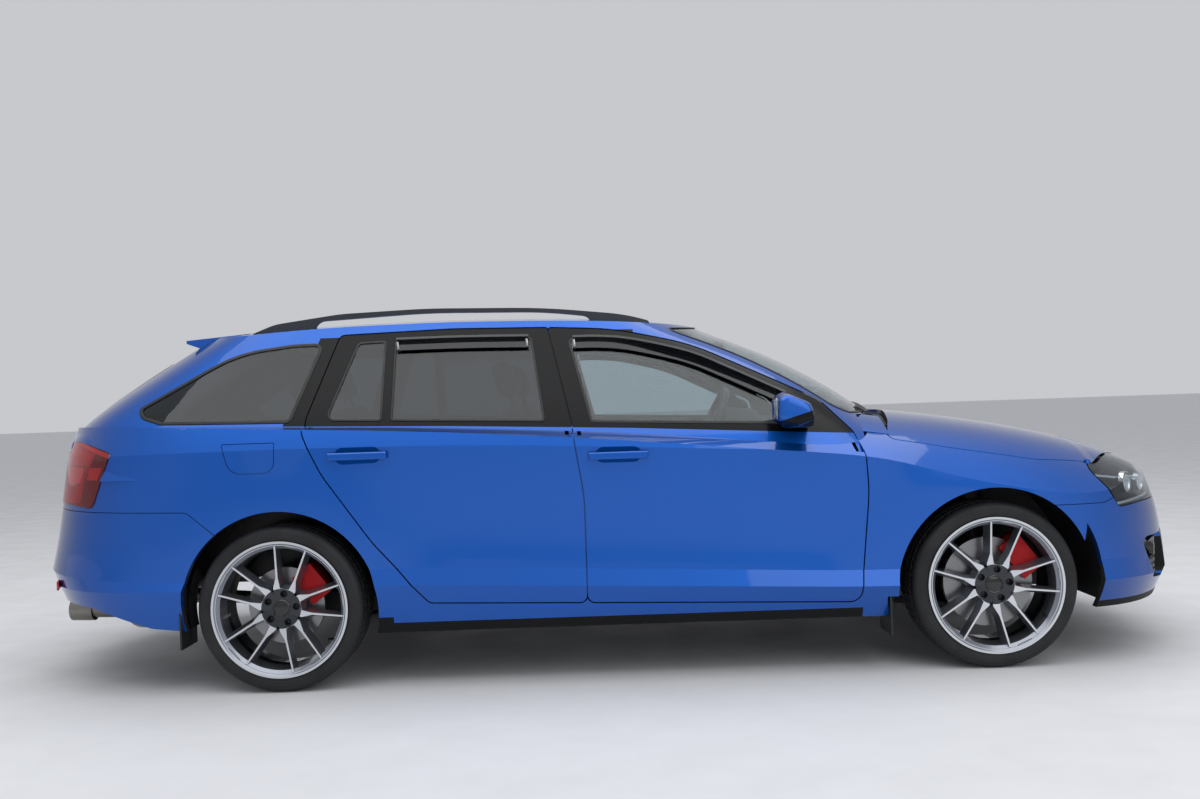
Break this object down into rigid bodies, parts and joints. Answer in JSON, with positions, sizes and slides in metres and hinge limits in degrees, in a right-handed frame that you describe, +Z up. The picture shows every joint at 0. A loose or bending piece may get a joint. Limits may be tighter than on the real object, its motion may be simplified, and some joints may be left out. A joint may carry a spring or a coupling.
{
  "type": "station wagon",
  "caption": "Station wagon with a hollow cabin, hinged doors, bonnet and tailgate, roof rails, steered front wheels and free-rolling wheels.",
  "frame": {"origin": "on the ground, at the middle of the length and of the width", "axes": "+X forward, +Y to the car's left, +Z up"},
  "size_m": [4.691, 2.02, 1.4437],
  "materials": {
    "paint": "gloss",
    "black_trim": "satin",
    "gloss_black": "gloss",
    "structure": "satin",
    "glass": "clear",
    "dark_glass": "tinted",
    "lamp_clear": "clear",
    "lamp_red": "red",
    "tyre": "moulded",
    "alloy": "machined",
    "iron": "as cast",
    "steel": "bare",
    "fabric": "woven",
    "cabin_plastic": "grained",
    "rail": "satin"
  },
  "bodies": {
    "body": {"body_sides": "paint", "roof_panel": "paint", "front_wings": "paint", "front_bumper": "paint", "rear_bumper": "paint", "floor_pan": "structure", "front_structure": "structure", "front_grille": "black_trim", "scuttle": "black_trim", "wipers": "black_trim", "mud_flaps": "black_trim", "headlamps": "lamp_clear", "tail_lamps": "lamp_red", "windscreen": "glass", "quarter_windows": "dark_glass", "roof_rails": "rail", "front_seats": "fabric", "rear_seat": "fabric", "dashboard": "cabin_plastic", "engine_block": "iron", "exhaust": "steel", "front_subframe": "iron", "rear_axle": "iron"},
    "bonnet": {"bonnet": "paint"},
    "tailgate": {"tailgate": "paint", "tailgate_lamps": "lamp_red", "tailgate_glass": "dark_glass"},
    "fuel_flap": {"fuel_flap": "paint"},
    "steering_wheel": {"steering_wheel": "cabin_plastic"},
    "front_door_right": {"door_front_right": "paint", "door_glass_front_right": "glass", "mirror_right": "paint"},
    "rear_door_right": {"door_rear_right": "paint", "door_glass_rear_right": "dark_glass"},
    "knuckle_right": {"knuckle_right": "iron"},
    "wheel_front_right": {"tyre_front_right": "tyre", "rim_front_right": "alloy"},
    "wheel_rear_right": {"tyre_rear_right": "tyre", "rim_rear_right": "alloy"},
    "front_door_left": {"door_front_left": "paint", "door_glass_front_left": "glass", "mirror_left": "paint"},
    "rear_door_left": {"door_rear_left": "paint", "door_glass_rear_left": "dark_glass"},
    "knuckle_left": {"knuckle_left": "iron"},
    "wheel_front_left": {"tyre_front_left": "tyre", "rim_front_left": "alloy"},
    "wheel_rear_left": {"tyre_rear_left": "tyre", "rim_rear_left": "alloy"}
  },
  "joints": [
    {"name": "steer_right", "type": "hinge", "parent": "body", "child": "knuckle_right", "pos_m": [1.4395, -0.64, 0.19], "axis": [0, 0.1438, 0.9896], "range_deg": [-33, 33]},
    {"name": "spin_front_right", "type": "hinge", "parent": "knuckle_right", "child": "wheel_front_right", "pos_m": [1.4395, -0.7675, 0.312], "axis": [0, 1, 0], "continuous": true},
    {"name": "spin_rear_right", "type": "hinge", "parent": "body", "child": "wheel_rear_right", "pos_m": [-1.2405, -0.772, 0.312], "axis": [0, 1, 0], "continuous": true},
    {"name": "open_front_door_right", "type": "hinge", "parent": "body", "child": "front_door_right", "pos_m": [0.96593, -0.907, 0.6], "axis": [0, 0, 1], "range_deg": [0, 66]},
    {"name": "open_rear_door_right", "type": "hinge", "parent": "body", "child": "rear_door_right", "pos_m": [-0.09261, -0.907, 0.6], "axis": [0, 0, 1], "range_deg": [0, 66]},
    {"name": "steer_left", "type": "hinge", "parent": "body", "child": "knuckle_left", "pos_m": [1.4395, 0.64, 0.19], "axis": [0, -0.1438, 0.9896], "range_deg": [-33, 33]},
    {"name": "spin_front_left", "type": "hinge", "parent": "knuckle_left", "child": "wheel_front_left", "pos_m": [1.4395, 0.7675, 0.312], "axis": [0, 1, 0], "continuous": true},
    {"name": "spin_rear_left", "type": "hinge", "parent": "body", "child": "wheel_rear_left", "pos_m": [-1.2405, 0.772, 0.312], "axis": [0, 1, 0], "continuous": true},
    {"name": "open_front_door_left", "type": "hinge", "parent": "body", "child": "front_door_left", "pos_m": [0.96593, 0.907, 0.6], "axis": [0, 0, -1], "range_deg": [0, 66]},
    {"name": "open_rear_door_left", "type": "hinge", "parent": "body", "child": "rear_door_left", "pos_m": [-0.09261, 0.907, 0.6], "axis": [0, 0, -1], "range_deg": [0, 66]},
    {"name": "turn_steering_wheel", "type": "hinge", "parent": "body", "child": "steering_wheel", "pos_m": [0.43, -0.365, 0.905], "axis": [-0.9135, 0, 0.4067], "range_deg": [-470, 470]},
    {"name": "open_bonnet", "type": "hinge", "parent": "body", "child": "bonnet", "pos_m": [1.072, 0, 1], "axis": [0, -1, 0], "range_deg": [0, 55]},
    {"name": "open_tailgate", "type": "hinge", "parent": "body", "child": "tailgate", "pos_m": [-1.43014, 0, 1.402], "axis": [0, 1, 0], "range_deg": [0, 80]},
    {"name": "open_fuel_flap", "type": "hinge", "parent": "body", "child": "fuel_flap", "pos_m": [-1.24024, -0.905, 0.88], "axis": [0, 0, 1], "range_deg": [0, 100]}
  ],
  "couplings": [
    {"joint": "steer_left", "follows": "steer_right", "ratio": 1},
    {"joint": "turn_steering_wheel", "follows": "steer_right", "ratio": 14}
  ]
}
